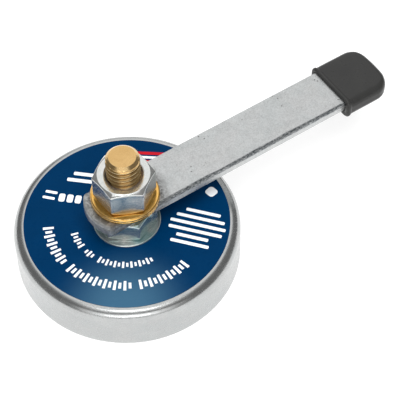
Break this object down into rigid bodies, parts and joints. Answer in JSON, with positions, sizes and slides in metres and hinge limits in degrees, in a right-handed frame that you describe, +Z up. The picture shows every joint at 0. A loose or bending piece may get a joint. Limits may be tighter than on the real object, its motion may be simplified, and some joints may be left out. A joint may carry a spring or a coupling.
{
  "type": "magnetic ground clamp",
  "caption": "Magnetic welding ground clamp: round pot magnet, brass contact stud, terminal nut and washer, flat swinging release lever with a soft grip cap.",
  "frame": {"origin": "centre of the contact face that sits on the work, on the stud's axis", "axes": "+Z up the stud's axis, +X along the lever at rest towards its grip cap"},
  "size_m": [0.1488, 0.08, 0.053],
  "materials": {
    "pot_zinc": "satin",
    "nut_zinc": "satin",
    "lever_zinc": "satin",
    "stud_brass": "satin",
    "washer_brass": "polished",
    "label_print": "satin",
    "cap_pvc": "satin",
    "ferrite": "matte",
    "resin": "satin",
    "bush_plastic": "satin"
  },
  "bodies": {
    "magnet_base": {"pot_shell": "pot_zinc", "ring_magnet": "ferrite", "resin_ring": "resin", "centre_bush": "bush_plastic", "contact_stud": "stud_brass", "label_disc": "label_print", "base_washer": "nut_zinc", "lock_nut": "nut_zinc"},
    "release_lever": {"lever_bar": "lever_zinc", "lever_cap": "cap_pvc"},
    "washer_lift": {"brass_washer": "washer_brass"},
    "top_nut": {"terminal_nut": "nut_zinc"}
  },
  "joints": [
    {"name": "lever_swing", "type": "hinge", "parent": "magnet_base", "child": "release_lever", "pos_m": [0, 0, 0.0287], "axis": [0, 0, 1], "continuous": true},
    {"name": "nut_rise", "type": "slide", "parent": "magnet_base", "child": "washer_lift", "axis": [0, 0, 1], "range_m": [0, 0.0085]},
    {"name": "nut_turn", "type": "hinge", "parent": "washer_lift", "child": "top_nut", "pos_m": [0, 0, 0.0386], "axis": [0, 0, 1], "range_deg": [0, 1440]}
  ],
  "couplings": [
    {"joint": "nut_rise", "follows": "nut_turn", "m_per_rad": 0.00033423}
  ]
}
